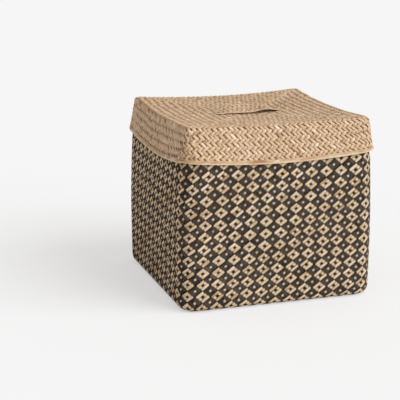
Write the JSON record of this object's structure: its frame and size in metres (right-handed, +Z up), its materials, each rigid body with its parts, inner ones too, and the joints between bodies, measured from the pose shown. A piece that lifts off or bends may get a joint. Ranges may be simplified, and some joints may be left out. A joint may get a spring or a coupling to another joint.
{
  "type": "woven lidded box",
  "caption": "Square plaited leaf storage box in a two-tone block weave, with a plain twill lift-off lid, deep skirt and arched strap handle.",
  "frame": {"origin": "middle of the underside of the basket, on the surface it stands on", "axes": "+Z up, -Y towards the front wall, +X along the strap handle to the right"},
  "size_m": [0.33, 0.33, 0.2938],
  "materials": {
    "patterned_leaf": "black and natural leaf strips in a block plait, satin",
    "natural_leaf": "dry natural leaf strips, satin",
    "plain_leaf": "dry leaf, matt",
    "rattan": "peeled rattan, satin"
  },
  "bodies": {
    "basket": {"body_outer_weave": "patterned_leaf", "body_lining": "plain_leaf", "rim_hoop": "rattan", "rim_binding": "natural_leaf"},
    "lid": {"lid_outer_weave": "natural_leaf", "lid_lining": "plain_leaf", "lid_hem": "natural_leaf", "handle_strap": "natural_leaf"}
  },
  "joints": [
    {"name": "lid_lift", "type": "slide", "parent": "basket", "child": "lid", "axis": [0, 0, 1], "range_m": [0, 0.16]}
  ]
}
